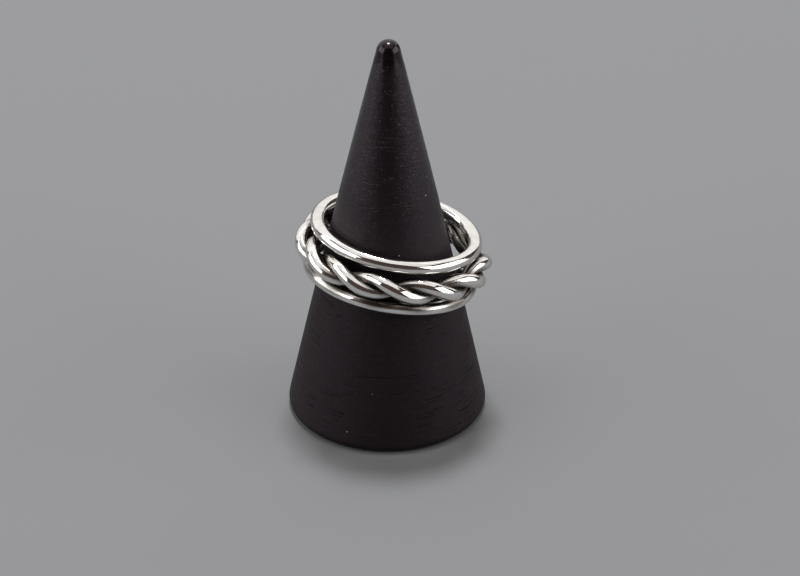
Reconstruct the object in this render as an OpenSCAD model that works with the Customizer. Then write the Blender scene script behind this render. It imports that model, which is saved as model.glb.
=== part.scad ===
// Three loose finger rings stacked at a slant on a black cone: a plain round-wire band at
// the bottom, a two-strand rope ring in the middle and another plain band on top.
// Frame: the origin is the centre of the cone's flat base, +Z runs up the cone, +X is to
// the right and +Y is to the back. Units are millimetres.

/* [Cone] */
// Widest diameter of the cone, just above its base
base_d = 25; // [22:0.5:30]
// Height of the cone's tip above its base
cone_h = 52; // [48:0.5:60]
// Radius of the cone's rounded tip
tip_r = 1.5; // [1:0.1:2]
// Radius that rounds the edge of the base
edge_r = 1; // [0.5:0.1:1.5]
// Diameter of the cone half way up, which makes its side bow out a little
waist_d = 14.26; // [14:0.02:14.4]

/* [Rings] */
// Diameter of the round wire that the plain bands are bent from
wire_d = 1.76; // [1.5:0.02:1.8]
// Diameter of each of the two wires twisted into the rope ring
strand_d = 1.74; // [1.5:0.02:1.76]
// Inner diameter of the upper band and of the rope ring
inner_d = 18.2; // [18:0.1:18.6]
// Inner diameter of the lower band
lower_inner_d = 18.54; // [18.4:0.02:18.8]
// Full turns that the two strands make about each other around the ring
twists = 6; // [5:1:8]
// Where around the tube the first strand starts, as an angle
twist_start = 22; // [0:1:359]

/* [Stack] */
// Distance of the rope ring's centre from the cone's axis, to the right
stack_x = 0.75; // [0.6:0.05:0.9]
// Distance of the rope ring's centre from the cone's axis, to the back
stack_y = 0.5; // [0.4:0.05:0.6]
// Height of the rope ring's centre above the base
stack_z = 21.9; // [21.8:0.05:24]
// Angle between the rings' shared axis and the cone's axis
lean = 10.5; // [9:0.5:11]
// Compass direction that the rings' axis leans to, from +X towards +Y
lean_way = 30; // [20:1:40]
// Gap between the rope ring and the upper band
upper_gap = 0.2; // [0.15:0.05:0.5]
// Gap between the rope ring and the lower band
lower_gap = 0.4; // [0.35:0.05:0.6]
// How far the upper band has slipped sideways on the rope ring, to the left
upper_slip = 0.15; // [0:0.05:0.2]
// How much further than the other rings the lower band tips to the back
lower_tip = 1.5; // [0:0.5:1.5]

/* [Hidden] */
$fn = 96;

// Cone outline, as [radius, height]
edge_c = [base_d / 2 - edge_r, edge_r];
tip_c = [0, cone_h - tip_r];
waist = [waist_d / 2, cone_h / 2];

// The strands lie side by side, this far from the middle of the rope, and almost touch
twist_gap = 0.02;
twist_r = (strand_d + twist_gap) / 2;
rope_r = twist_r + strand_d / 2;

// Radius of each ring, from its centre to the middle of its wire or rope
upper_r = (inner_d + wire_d) / 2;
rope_ring_r = inner_d / 2 + rope_r;
lower_r = (lower_inner_d + wire_d) / 2;

// Heights of the plain bands along the shared axis, from the rope ring's centre
upper_up = rope_r + upper_gap + wire_d / 2;
lower_down = rope_r + lower_gap + wire_d / 2;

// Facets of the twisted strands: sides around the wire, and steps for one full twist
strand_sides = 12;
steps_per_twist = 24;
strand_steps = twists * steps_per_twist;

// The point of a circle in the outline where a line from point p touches it. The line
// keeps the circle on its inner side, and side is 1 if it leaves upwards, -1 if downwards.
function touch(c, r, p, side) =
    let (
        d = p - c,
        a = atan2(d.y, d.x) - side * acos(r / norm(d))
    )
    c + r * [cos(a), sin(a)];

// Unit vector that points from the middle of the rope ring to its side, at angle a
function outward(a) = [cos(a), sin(a), 0];

// Unit vector across the rope at ring angle a, turned by angle t from outward to up
function across(a, t) = cos(t) * outward(a) + [0, 0, sin(t)];

// Turn of a strand about the rope's own middle line, at ring angle a
function turn(a, start) = start - twists * a;

// Middle line of a strand that starts at the given turn
function strand_line(a, start) = rope_ring_r * outward(a) + twist_r * across(a, turn(a, start));

// Direction in which a strand runs at ring angle a
function strand_way(a, start) =
    let (
        step = 0.01,
        d = strand_line(a + step, start) - strand_line(a - step, start)
    )
    d / norm(d);

// One point on a strand's surface, at angle b around its own wire
function strand_point(a, b, start) =
    let (
        way = strand_way(a, start),
        u = cross(way, across(a, turn(a, start))),
        side = u / norm(u)
    )
    strand_line(a, start) + strand_d / 2 * (cos(b) * cross(side, way) + sin(b) * side);

// Number of the point at step i along a strand and corner j around it, both wrapping round
function corner(i, j) = (i % strand_steps) * strand_sides + j % strand_sides;

module display_cone() {
    side = [touch(edge_c, edge_r, waist, 1), waist, touch(tip_c, tip_r, waist, -1)];
    color([0.1, 0.09, 0.1])
    union() {
        rotate_extrude() polygon(concat([[0, 0], [edge_c.x, 0]], side, [tip_c]));
        rotate_extrude() translate(edge_c) circle(r = edge_r);
        translate([0, 0, tip_c.y]) sphere(r = tip_r);
    }
}

// Places what is drawn in a ring's own frame, whose Z is the rings' shared axis
module on_stack() {
    translate([stack_x, stack_y, stack_z])
    rotate([0, 0, lean_way])
    rotate([0, lean, 0])
    rotate([0, 0, -lean_way])
    children();
}

module plain_band(r) {
    color([0.86, 0.85, 0.83])
    rotate_extrude() translate([r, 0]) circle(d = wire_d);
}

module rope_strand(start) {
    points = [
        for (i = [0 : strand_steps - 1], j = [0 : strand_sides - 1])
            strand_point(i * 360 / strand_steps, j * 360 / strand_sides, start)
    ];
    faces = [
        for (i = [0 : strand_steps - 1], j = [0 : strand_sides - 1], half = [0, 1])
            half == 0
                ? [corner(i, j), corner(i, j + 1), corner(i + 1, j + 1)]
                : [corner(i, j), corner(i + 1, j + 1), corner(i + 1, j)]
    ];
    color([0.86, 0.85, 0.83])
    on_stack() polyhedron(points = points, faces = faces);
}

module lower_band() {
    on_stack() translate([0, 0, -lower_down]) rotate([-lower_tip, 0, 0]) plain_band(lower_r);
}

module rope_strand_a() {
    rope_strand(twist_start);
}

module rope_strand_b() {
    rope_strand(twist_start + 180);
}

module upper_band() {
    translate([-upper_slip, 0, 0]) on_stack() translate([0, 0, upper_up]) plain_band(upper_r);
}

display_cone();
lower_band();
rope_strand_a();
rope_strand_b();
upper_band();
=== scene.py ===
"""Finger rings stacked at a slant on a black ring cone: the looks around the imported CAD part.

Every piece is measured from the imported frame, rides on its CAD body and stands for one CAD node.
Lengths are in metres. The object's own frame has +Z up and its front towards -Y.
"""

import math

import bmesh
import bpy
import numpy as np
from mathutils import Matrix, Vector
from mathutils.kdtree import KDTree


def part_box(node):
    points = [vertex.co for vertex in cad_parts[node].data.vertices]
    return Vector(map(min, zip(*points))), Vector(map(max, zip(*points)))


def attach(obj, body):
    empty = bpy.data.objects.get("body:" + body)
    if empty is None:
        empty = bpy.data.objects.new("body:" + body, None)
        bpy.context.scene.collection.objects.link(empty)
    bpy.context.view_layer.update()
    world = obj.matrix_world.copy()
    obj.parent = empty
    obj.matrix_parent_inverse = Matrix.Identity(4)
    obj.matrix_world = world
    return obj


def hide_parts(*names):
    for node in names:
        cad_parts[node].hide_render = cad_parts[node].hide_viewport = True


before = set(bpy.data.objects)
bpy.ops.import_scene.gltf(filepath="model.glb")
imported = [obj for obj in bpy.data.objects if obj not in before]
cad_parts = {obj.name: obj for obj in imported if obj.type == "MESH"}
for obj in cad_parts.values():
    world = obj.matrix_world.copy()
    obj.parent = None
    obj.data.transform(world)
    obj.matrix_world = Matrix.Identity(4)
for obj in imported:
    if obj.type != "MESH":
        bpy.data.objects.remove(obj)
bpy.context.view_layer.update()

# Camera: a long lens, looking down at the front from above
VIEW_DOWN = math.radians(31.76)
VIEW_DISTANCE = 0.4931
AIM_HEIGHT = 0.01678
CAMERA_SIDE = 0.00155
CAMERA_ROLL = math.radians(0.3)
LENS_MM = 176.6

# Fineness of the meshes, and of the middle lines that distances are measured to
BAND_STEPS, BAND_SIDES = 480, 56
STRAND_STEPS, STRAND_SIDES = 840, 44
CONE_SEGMENTS = 240
EDGE_POINTS, TIP_POINTS, SIDE_POINTS = 14, 20, 150
LINE_POINTS = 1500
MEASURE_POINTS = 2000
FLOOR_SEGMENTS = 128

# A small step around a ring, in radians, that gives the direction of its wire
ANGLE_STEP = 1e-4

# How near to half way up the cone a vertex has to lie to count as its waist
WAIST_SLACK = 1e-4

# The most turns that the strands of the rope are taken to make
MOST_TWISTS = 19

# Rounded edges of the cone
CONE_TIP_R = 0.0015
CONE_EDGE_R = 0.001

# How deep filing and polishing have worn the wires, at most
WIRE_WEAR = 0.000012

# Colours
SILVER_DULL = (0.86, 0.84, 0.81, 1)
SILVER_BRIGHT = (0.93, 0.915, 0.89, 1)
SILVER_EDGE = (0.72, 0.70, 0.68, 1.0)
# Dark colour laid where wires lie close: part tarnish in the crevices, part painted shade between
# the wires
TARNISH_AND_SHADE = (0.10, 0.085, 0.072, 1)
PAINT_DARK = (0.0022, 0.0011, 0.0018, 1)
PAINT_PALE = (0.0036, 0.0021, 0.0030, 1)
# Paler paint for the upper cone: a painted sheen
PAINT_UPPER_SHEEN = (0.0060, 0.0040, 0.0052, 1)
PAINT_SHEEN = (1.0, 0.80, 0.92, 1.0)
PIT = (0.0012, 0.0008, 0.0010, 1)
SCRATCH = (0.0008, 0.0006, 0.0008, 1)
SCUFF = (0.024, 0.020, 0.021, 1)
# Pale grit, partly painted glints of light on the grain
GRIT_AND_GLINT = (0.12, 0.11, 0.105, 1)
DUST = (0.42, 0.40, 0.37, 1)
FLOOR_COLOUR = (0.170, 0.173, 0.178, 1.0)
ROOM_COLOUR = (0.064, 0.045, 0.040, 1.0)

# Heights on the cone, in mm, between which the paint gets glossy and is painted paler as a painted
# sheen, and the tip smooth
HANDLED_SHEEN_FROM, HANDLED_SHEEN_TO = 20.0, 40.0
TIP_FROM, TIP_TO = 47.5, 50.5

# Stage and lights. Power is in watts, and an angle is in degrees
FLOOR_RADIUS = 3.0
PANELS = (
    # name, azimuth, elevation, distance, size, power
    ("back_window", -8, 30, 0.9, (2.0, 1.0), 5.8),
    ("ceiling", 0, 87, 0.9, (1.5, 1.2), 4.4),
    ("left_panel", -100, 20, 0.75, (0.9, 0.55), 3.7),
    ("right_panel", 100, 20, 0.75, (0.9, 0.55), 3.6),
    ("lamp", 0, 74, 0.85, (0.17, 0.17), 6.8),
)

# Millimetres in a metre
MM = 1000.0

# How much further the darkening reaches over the lower band and over the inside of the rope, in
# mm: painted shade under and inside the rope
LOWER_PAINTED_SHADE = 0.5
INNER_PAINTED_SHADE = 0.8

# Every wire made so far: its piece, its points, its middle line and its radius
wires = []


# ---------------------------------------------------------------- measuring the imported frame


def node_points(*nodes):
    """The separate vertices of CAD nodes, in the object's own frame."""
    found = []
    for node in nodes:
        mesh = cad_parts[node].data
        points = np.empty(len(mesh.vertices) * 3)
        mesh.vertices.foreach_get("co", points)
        found.append(np.unique(points.reshape(-1, 3).round(8), axis=0))
    return np.concatenate(found)


def ring_frame(*nodes):
    """Centre and axes of the ring that CAD nodes make: rows right, back and along its axis."""
    points = node_points(*nodes)
    centre = points.mean(0)
    axis = np.linalg.svd(points - centre, full_matrices=False)[2][2]
    axis *= np.sign(axis[2])
    right = np.cross((0, 1, 0), axis)
    right /= np.linalg.norm(right)
    return centre, np.array([right, np.cross(axis, right), axis])


def in_ring(node, centre, axes):
    """Ring angle, distance from the ring's axis and height of each vertex of a node."""
    local = (node_points(node) - centre) @ axes.T
    return np.arctan2(local[:, 1], local[:, 0]), np.hypot(local[:, 0], local[:, 1]), local[:, 2]


# ---------------------------------------------------------------- meshes


def add_mesh(name, points, faces, material):
    """A smooth-shaded object made of those points and faces, in the object's own frame."""
    mesh = bpy.data.meshes.new(name)
    mesh.from_pydata(points.tolist(), [], faces)
    mesh.update()
    mesh.materials.append(material)
    mesh.shade_smooth()
    piece = bpy.data.objects.new(name, mesh)
    bpy.context.scene.collection.objects.link(piece)
    return piece


def add_point_values(piece, name, values):
    """Stores one number or one vector for each vertex, for the material to read."""
    kind = "FLOAT" if values.ndim == 1 else "FLOAT_VECTOR"
    field = "value" if values.ndim == 1 else "vector"
    store = piece.data.attributes.new(name, kind, "POINT")
    store.data.foreach_set(field, values.astype(np.float32).ravel())


def closed_grid_faces(steps, sides):
    """Faces of a tube that closes on itself both along and around."""
    faces = []
    for i in range(steps):
        for j in range(sides):
            near, far = i * sides, (i + 1) % steps * sides
            faces.append((near + j, far + j, far + (j + 1) % sides, near + (j + 1) % sides))
    return faces


def handmade(along, around, seed):
    """A slow unevenness from -1 to 1 over a closed wire, as filing and polishing leave."""
    rng = np.random.default_rng(seed)
    total = np.zeros(np.broadcast(along, around).shape)
    for waves in (2, 3, 5, 7, 11, 16):
        for turns in (0, 1, 2):
            start_a, start_b = rng.uniform(0, 2 * np.pi, 2)
            size = rng.uniform(0.4, 1.0) / math.sqrt(waves)
            total += size * np.sin(waves * along + start_a) * np.cos(turns * around + start_b)
    return total / np.abs(total).max()


def add_wire(name, line, across, radius, steps, sides, seed, material):
    """A closed round wire. line(a) is its middle line and across(a) a direction across it."""
    a = np.linspace(0, 2 * np.pi, steps, endpoint=False)
    middle, outer = line(a), across(a)
    way = line(a + ANGLE_STEP) - line(a - ANGLE_STEP)
    way /= np.linalg.norm(way, axis=1, keepdims=True)
    side = np.cross(way, outer)
    side /= np.linalg.norm(side, axis=1, keepdims=True)
    outer = np.cross(side, way)

    b = np.linspace(0, 2 * np.pi, sides, endpoint=False)
    along, around = a[:, None], b[None, :]
    depth = WIRE_WEAR * (1 + handmade(along, around, seed)) / 2
    reach = (radius - depth)[..., None]
    turned = np.cos(around)[..., None] * outer[:, None] + np.sin(around)[..., None] * side[:, None]
    points = (middle[:, None] + reach * turned).reshape(-1, 3)
    piece = add_mesh(name, points, closed_grid_faces(steps, sides), material)

    length = np.linalg.norm(line(a + 2 * np.pi / steps) - middle, axis=1).sum()
    ring_r = length / (2 * np.pi)
    whole = np.ones((steps, sides))
    grain = np.stack([radius * np.cos(around) * whole, radius * np.sin(around) * whole,
                      ring_r * np.cos(along) * whole], axis=-1)
    add_point_values(piece, "wire_grain", MM * grain.reshape(-1, 3))
    add_point_values(piece, "wire_along", MM * (ring_r * np.sin(along) * whole).ravel())
    wires.append((piece, points, line(np.linspace(0, 2 * np.pi, LINE_POINTS)), radius))
    return piece


def inwardness(points, line, radius):
    """0 on the outer half of a ring made of that wire, and up to 1 on its inner half."""
    centre = line.mean(0)
    middle = np.linalg.norm(line - centre, axis=1).mean()
    return np.clip((middle - np.linalg.norm(points - centre, axis=1)) / radius, 0, 1)


def add_gaps():
    """Stores how far, in millimetres, each point of a wire lies from the nearest other wire.

    The lower band's, and those inside the rope, are made smaller, so that more is darkened:
    painted shade under and inside the rope.
    """
    for piece, points, line, radius in wires:
        others = [(path, size) for other, _, path, size in wires if other is not piece]
        tree = KDTree(sum(len(path) for path, _ in others))
        reach = np.concatenate([np.full(len(path), size) for path, size in others])
        for index, place in enumerate(np.concatenate([path for path, _ in others])):
            tree.insert(place, index)
        tree.balance()
        found = [tree.find(point) for point in points]
        gaps = MM * np.array([distance - reach[index] for _, index, distance in found])
        # Painted shade: the lower band under the rope, and the inner half of the rope, are
        # darkened further
        if piece.name == "lower_ring":
            gaps -= LOWER_PAINTED_SHADE
        if piece.name.startswith("rope"):
            gaps -= INNER_PAINTED_SHADE * inwardness(points, line, radius)
        add_point_values(piece, "wire_gap", gaps)


def add_band(name, node, seed, material):
    """A plain band of round wire, at the place and size of its CAD node."""
    centre, axes = ring_frame(node)
    _, reach, height = in_ring(node, centre, axes)
    ring_r = (reach.max() + reach.min()) / 2
    wire_r = (height.max() - height.min()) / 2

    def across(a):
        return np.stack([np.cos(a), np.sin(a), 0 * a], axis=-1) @ axes

    def line(a):
        return centre + ring_r * across(a)

    return add_wire(name, line, across, wire_r, BAND_STEPS, BAND_SIDES, seed, material)


def add_strand(name, node, centre, axes, seed, material):
    """One strand of the rope ring, wound as its CAD node is."""
    angle, reach, height = in_ring(node, centre, axes)
    rope_ring_r = reach.mean()
    offset = (reach - rope_ring_r) + 1j * height
    counts = range(1, MOST_TWISTS + 1)
    twists = max(counts, key=lambda n: abs((offset * np.exp(1j * n * angle)).mean()))
    start = (offset * np.exp(1j * twists * angle)).mean()
    twist_r, first_turn = abs(start), np.angle(start)

    def across(a):
        t = first_turn - twists * a
        return np.stack([np.cos(t) * np.cos(a), np.cos(t) * np.sin(a), np.sin(t)], axis=-1) @ axes

    def line(a):
        out = np.stack([np.cos(a), np.sin(a), 0 * a], axis=-1) @ axes
        return centre + rope_ring_r * out + twist_r * across(a)

    path = line(np.linspace(0, 2 * np.pi, MEASURE_POINTS, endpoint=False))
    nearest = [np.linalg.norm(path - p, axis=1).min() for p in node_points(node)]
    wire_r = float(np.mean(nearest))
    return add_wire(name, line, across, wire_r, STRAND_STEPS, STRAND_SIDES, seed, material)


def arc(centre, radius, first, last, count):
    """Points of an arc in the outline, as (distance from the axis, height)."""
    turns = np.linspace(first, last, count)
    return [(centre[0] + radius * math.cos(t), centre[1] + radius * math.sin(t)) for t in turns]


def touch_angle(centre, radius, point, side):
    """Where on an arc a line from point touches it. side is 1 if it leaves upwards."""
    dx, dz = point[0] - centre[0], point[1] - centre[1]
    return math.atan2(dz, dx) - side * math.acos(radius / math.hypot(dx, dz))


def cone_outline():
    """The cone's outline from the middle of its base to its tip, as (distance, height)."""
    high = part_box("display_cone")[1]
    points = node_points("display_cone")
    reach = np.hypot(points[:, 0], points[:, 1])
    half_way = abs(points[:, 2] - high.z / 2) < WAIST_SLACK
    waist = (reach[half_way].max(), high.z / 2)
    edge_c = (high.x - CONE_EDGE_R, CONE_EDGE_R)
    tip_c = (0.0, high.z - CONE_TIP_R)
    low_touch = touch_angle(edge_c, CONE_EDGE_R, waist, 1)
    high_touch = touch_angle(tip_c, CONE_TIP_R, waist, -1)
    edge = arc(edge_c, CONE_EDGE_R, -math.pi / 2, low_touch, EDGE_POINTS)
    tip = arc(tip_c, CONE_TIP_R, high_touch, math.pi / 2, TIP_POINTS)
    heights = np.linspace(edge[-1][1], tip[0][1], SIDE_POINTS)
    bend = np.polyfit([edge[-1][1], waist[1], tip[0][1]], [edge[-1][0], waist[0], tip[0][0]], 2)
    side = list(zip(np.polyval(bend, heights), heights))
    return edge[:-1] + side + tip[1:-1]


def add_cone(name, material):
    """The cone, turned from its outline, with a closed flat base."""
    outline = cone_outline()
    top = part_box("display_cone")[1].z
    turns = np.linspace(0, 2 * np.pi, CONE_SEGMENTS, endpoint=False)
    rows = np.array([[(r * math.cos(t), r * math.sin(t), z) for t in turns] for r, z in outline])
    points = np.concatenate([rows.reshape(-1, 3), [(0, 0, 0), (0, 0, top)]])
    middle, tip = len(points) - 2, len(points) - 1
    last = (len(outline) - 1) * CONE_SEGMENTS
    faces = []
    for j in range(CONE_SEGMENTS):
        k = (j + 1) % CONE_SEGMENTS
        for i in range(len(outline) - 1):
            low, up = i * CONE_SEGMENTS, (i + 1) * CONE_SEGMENTS
            faces.append((low + j, low + k, up + k, up + j))
        faces.append((middle, k, j))
        faces.append((last + j, last + k, tip))
    return add_mesh(name, points, faces, material)


# ---------------------------------------------------------------- materials


class Nodes:
    """Short calls for building one material's nodes."""

    def __init__(self, name):
        self.material = bpy.data.materials.new(name)
        self.material.use_nodes = True
        self.tree = self.material.node_tree
        self.shader = self.tree.nodes["Principled BSDF"]

    def add(self, kind, inputs=None, **settings):
        """A new node. Its settings come before its inputs, as they decide which inputs it has."""
        node = self.tree.nodes.new(kind)
        for key, value in settings.items():
            setattr(node, key, value)
        for key, value in (inputs or {}).items():
            self.put(value, node.inputs[key])
        return node

    def put(self, value, socket):
        """Links a node's output to an input, or gives the input a value."""
        if isinstance(value, bpy.types.NodeSocket):
            self.tree.links.new(value, socket)
        else:
            socket.default_value = value

    def shade(self, **inputs):
        """Gives the shader's inputs, with an underscore for each space in a name."""
        for key, value in inputs.items():
            self.put(value, self.shader.inputs[key.replace("_", " ")])

    def object_mm(self, stretch=(1, 1, 1)):
        """Object coordinates in millimetres, stretched by a factor along each axis."""
        place = self.add("ShaderNodeTexCoord").outputs["Object"]
        scale = tuple(MM * s for s in stretch)
        return self.add("ShaderNodeMapping", {"Vector": place, "Scale": scale}).outputs[0]

    def noise(self, vector, scale, detail=2.0, roughness=0.5, w=None):
        """Noise from 0 to 1, in three dimensions, or in four if w is given."""
        inputs = {"Vector": vector, "Scale": scale, "Detail": detail, "Roughness": roughness}
        if w is None:
            return self.add("ShaderNodeTexNoise", inputs).outputs["Fac"]
        inputs["W"] = w
        return self.add("ShaderNodeTexNoise", inputs, noise_dimensions="4D").outputs["Fac"]

    def ramp(self, value, low, high, out_low=0.0, out_high=1.0, smooth=True):
        """Maps value from low..high to out_low..out_high, and holds it beyond them."""
        kind = "SMOOTHSTEP" if smooth else "LINEAR"
        inputs = {"Value": value, "From Min": low, "From Max": high,
                  "To Min": out_low, "To Max": out_high}
        return self.add("ShaderNodeMapRange", inputs, interpolation_type=kind).outputs["Result"]

    def math(self, operation, a, b=0.0):
        return self.add("ShaderNodeMath", {0: a, 1: b}, operation=operation).outputs[0]

    def mix(self, share, a, b):
        """Colour a where share is 0 and colour b where it is 1."""
        inputs = {"Factor": share, "A": a, "B": b}
        return self.add("ShaderNodeMix", inputs, data_type="RGBA").outputs["Result"]

    def bump(self, height, depth, strength=1.0, under=None):
        """A bump of that depth in metres, laid over another one."""
        inputs = {"Height": height, "Distance": depth, "Strength": strength}
        node = self.add("ShaderNodeBump", inputs)
        if under is not None:
            self.put(under, node.inputs["Normal"])
        return node.outputs["Normal"]


def silver():
    """Polished silver wire with fine draw lines and scuffs, darkened where wires lie close, partly
    tarnished and partly painted shade.
    """
    n = Nodes("polished_silver")
    grain = n.add("ShaderNodeAttribute", attribute_name="wire_grain").outputs["Vector"]
    along = n.add("ShaderNodeAttribute", attribute_name="wire_along").outputs["Fac"]

    # Draw lines and broader bands that run along the wire, soft dents and patchy scuffs
    lines_at = n.add("ShaderNodeMapping", {"Vector": grain, "Scale": (7, 7, 0.25)}).outputs[0]
    lines = n.noise(lines_at, 1.0, 3.0, 0.6, w=n.math("MULTIPLY", along, 0.25))
    bands_at = n.add("ShaderNodeMapping", {"Vector": grain, "Scale": (2.2, 2.2, 0.12)}).outputs[0]
    bands = n.noise(bands_at, 1.0, 2.0, 0.5, w=n.math("MULTIPLY", along, 0.12))
    place = n.object_mm()
    waves = n.noise(place, 0.8, 2.0)
    scuffs = n.noise(place, 5.0, 4.0, 0.65)
    worn = n.ramp(scuffs, 0.55, 0.75)

    # Darkening with a ragged edge where another wire is near: part tarnish in the crevices, part
    # painted shade between the wires
    gap = n.add("ShaderNodeAttribute", attribute_name="wire_gap").outputs["Fac"]
    ragged = n.math("ADD", gap, n.math("MULTIPLY", n.math("SUBTRACT", scuffs, 0.5), 0.5))
    tarnish_and_shade = n.ramp(ragged, 0.15, 1.10, 0.93, 0.0)

    polished = n.mix(n.ramp(waves, 0.3, 0.7), SILVER_DULL, SILVER_BRIGHT)
    colour = n.mix(tarnish_and_shade, polished, TARNISH_AND_SHADE)
    gloss = n.ramp(lines, 0.35, 0.75, 0.05, 0.14)
    rough = n.math("ADD", gloss, n.math("MULTIPLY", worn, 0.08))
    rough = n.math("ADD", rough, n.math("MULTIPLY", tarnish_and_shade, 0.15))
    normal = n.bump(waves, 0.00004, 0.5)
    normal = n.bump(bands, 0.00003, 0.6, under=normal)
    normal = n.bump(lines, 0.000008, 0.7, under=normal)
    n.shade(Base_Color=colour, Metallic=1.0, Roughness=rough, Normal=normal)
    n.shade(Specular_Tint=SILVER_EDGE)
    return n.material


def black_wood():
    """Turned wood under satin black paint: pitted, with turning lines, scratches and dust.

    The upper part is glossier, as rings rub it more, and its colour is painted paler as a painted
    sheen; the tip is the smoothest.
    """
    n = Nodes("black_wood")
    place = n.object_mm()
    height = n.add("ShaderNodeSeparateXYZ", {"Vector": place}).outputs["Z"]
    handled_and_sheen = n.ramp(height, HANDLED_SHEEN_FROM, HANDLED_SHEEN_TO)
    tip = n.ramp(height, TIP_FROM, TIP_TO)
    below_tip = n.math("SUBTRACT", 1.0, tip)

    # Pits, turning lines, dark scratches and pale scuffs that run around the cone
    pits = n.noise(place, 3.4, 4.0, 0.70)
    rings = n.noise(n.object_mm((0.12, 0.12, 2.4)), 1.0, 3.0, 0.55)
    patches = n.noise(place, 0.16, 3.0)
    scratch = n.noise(n.object_mm((0.24, 0.24, 4.5)), 1.0, 1.0)
    scratched = n.math("MULTIPLY", n.ramp(scratch, 0.62, 0.69), n.ramp(patches, 0.48, 0.56))
    scratched = n.math("MULTIPLY", scratched, below_tip)
    scuff = n.noise(n.object_mm((0.20, 0.20, 6.0)), 1.0, 2.0)
    scuffed = n.math("MULTIPLY", n.ramp(scuff, 0.66, 0.72), n.ramp(patches, 0.52, 0.44))

    # A few specks of dust, and finer grit whose pale colour, denser up the cone, is partly painted
    # glints on the grain
    cells = n.add("ShaderNodeTexVoronoi", {"Vector": place, "Scale": 0.62, "Randomness": 1.0})
    picked = n.add("ShaderNodeSeparateColor", {"Color": cells.outputs["Color"]}).outputs[0]
    dust = n.math("MULTIPLY", n.ramp(picked, 0.80, 0.82, smooth=False),
                  n.ramp(cells.outputs["Distance"], 0.035, 0.06, 1.0, 0.0))
    fine = n.add("ShaderNodeTexVoronoi", {"Vector": place, "Scale": 2.8, "Randomness": 1.0})
    fine_pick = n.add("ShaderNodeSeparateColor", {"Color": fine.outputs["Color"]}).outputs[1]
    grit_and_glint = n.math("MULTIPLY", n.ramp(fine_pick, 0.55, 0.95),
                  n.ramp(fine.outputs["Distance"], 0.08, 0.30, 1.0, 0.0))

    dark = n.mix(n.ramp(patches, 0.35, 0.65), PAINT_DARK, PAINT_PALE)
    # Painted sheen: the upper cone is painted paler
    tone_with_sheen = n.mix(handled_and_sheen, dark, PAINT_UPPER_SHEEN)
    mottled = n.mix(n.ramp(pits, 0.40, 0.62), tone_with_sheen, PIT)
    marked = n.mix(n.math("MULTIPLY", scratched, 0.8), mottled, SCRATCH)
    marked = n.mix(n.math("MULTIPLY", scuffed, 0.5), marked, SCUFF)
    # Painted glints: the pale grit grows denser up the cone, where the grain catches light
    grit_and_glint_share = n.math("MULTIPLY", grit_and_glint, n.ramp(handled_and_sheen, 0.0, 1.0, 0.15, 0.90))
    gritty_and_glinting = n.mix(grit_and_glint_share, marked, GRIT_AND_GLINT)
    colour = n.mix(dust, gritty_and_glinting, DUST)

    uneven = n.math("ADD", pits, n.math("MULTIPLY", patches, 0.5))
    satin = n.ramp(uneven, 0.5, 1.0, 0.64, 0.76)
    satin = n.math("SUBTRACT", satin, n.math("MULTIPLY", handled_and_sheen, 0.42))
    satin = n.math("ADD", satin, n.math("MULTIPLY", scratched, 0.25))
    rough = n.math("SUBTRACT", satin, n.math("MULTIPLY", tip, 0.13))
    normal = n.bump(n.math("MULTIPLY", rings, below_tip), 0.00005, 0.4)
    pitted = n.math("MULTIPLY", pits, n.ramp(handled_and_sheen, 0.0, 1.0, 0.7, 2.4))
    normal = n.bump(n.math("MULTIPLY", pitted, below_tip), 0.00005, 0.7, under=normal)
    normal = n.bump(grit_and_glint, 0.00002, 0.6, under=normal)
    normal = n.bump(scratched, -0.00008, 1.0, under=normal)
    n.shade(Base_Color=colour, Roughness=rough, Normal=normal)
    n.shade(IOR=1.46, Specular_IOR_Level=0.42, Specular_Tint=PAINT_SHEEN)
    return n.material


def floor_paint():
    """A plain matt grey."""
    n = Nodes("pale_floor")
    n.shade(Base_Color=FLOOR_COLOUR, Roughness=0.9, Specular_IOR_Level=0.2)
    return n.material


# ---------------------------------------------------------------- the object


def build_object():
    """Every piece, each on its CAD body and in the place of its CAD node."""
    metal, paint = silver(), black_wood()
    cone = add_cone("cone_body", paint)
    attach(cone, "display_cone")
    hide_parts("display_cone")
    for name, node, seed in (("lower_ring", "lower_band", 3), ("upper_ring", "upper_band", 8)):
        band = add_band(name, node, seed, metal)
        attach(band, node)
        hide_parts(node)
    centre, axes = ring_frame("rope_strand_a", "rope_strand_b")
    for letter, seed in (("a", 5), ("b", 6)):
        node = "rope_strand_" + letter
        strand = add_strand("rope_wire_" + letter, node, centre, axes, seed, metal)
        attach(strand, "rope_ring")
        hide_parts(node)
    add_gaps()


# ---------------------------------------------------------------- studio


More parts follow.
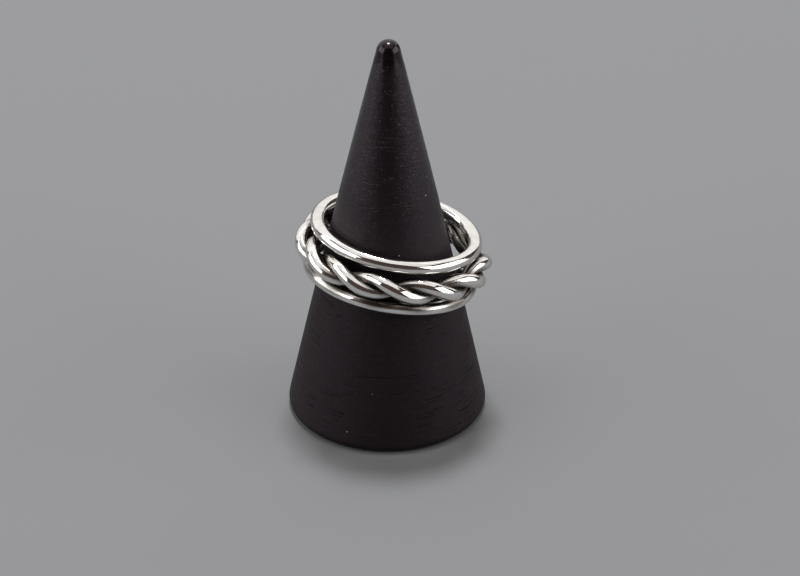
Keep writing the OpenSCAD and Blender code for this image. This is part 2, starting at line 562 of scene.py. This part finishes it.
def add_floor():
    """A wide round floor under the cone, which is a part of the stage."""
    mesh = bpy.data.meshes.new("floor")
    disc = bmesh.new()
    bmesh.ops.create_circle(disc, cap_ends=True, segments=FLOOR_SEGMENTS, radius=FLOOR_RADIUS)
    disc.to_mesh(mesh)
    disc.free()
    mesh.materials.append(floor_paint())
    floor = bpy.data.objects.new("floor", mesh)
    bpy.context.scene.collection.objects.link(floor)


def add_panel(name, azimuth, elevation, distance, size, power):
    """An oblong soft light that faces the object. Azimuth 0 is the back and 90 the right."""
    lamp = bpy.data.lights.new(name, "AREA")
    lamp.shape = "RECTANGLE"
    lamp.size, lamp.size_y = size
    lamp.energy = power
    a, e = math.radians(azimuth), math.radians(elevation)
    place = Vector((math.sin(a) * math.cos(e), math.cos(a) * math.cos(e), math.sin(e))) * distance
    panel = bpy.data.objects.new(name, lamp)
    panel.location = place + Vector((0, 0, AIM_HEIGHT))
    panel.rotation_mode = "QUATERNION"
    panel.rotation_quaternion = (-place).to_track_quat("-Z", "Y")
    bpy.context.scene.collection.objects.link(panel)


def add_lights():
    """A wide window behind and above, soft side light, and a dark room on the camera's side."""
    world = bpy.data.worlds.new("studio")
    bpy.context.scene.world = world
    world.use_nodes = True
    background = world.node_tree.nodes["Background"]
    background.inputs["Color"].default_value = ROOM_COLOUR
    background.inputs["Strength"].default_value = 1.0
    for panel in PANELS:
        add_panel(*panel)


def add_camera():
    """The photograph's view, fitted to the outlines of the cone and the rings in it."""
    camera = bpy.data.objects.new("camera", bpy.data.cameras.new("camera"))
    camera.data.lens = LENS_MM
    camera.data.clip_start, camera.data.clip_end = 0.01, 10
    back = VIEW_DISTANCE * math.cos(VIEW_DOWN)
    camera.location = (CAMERA_SIDE, -back, AIM_HEIGHT + VIEW_DISTANCE * math.sin(VIEW_DOWN))
    tilt = Matrix.Rotation(math.pi / 2 - VIEW_DOWN, 3, "X")
    camera.rotation_euler = (tilt @ Matrix.Rotation(CAMERA_ROLL, 3, "Z")).to_euler()
    bpy.context.scene.collection.objects.link(camera)
    bpy.context.scene.camera = camera


build_object()
add_floor()
add_lights()
add_camera()
bpy.context.scene.view_settings.view_transform = "Standard"
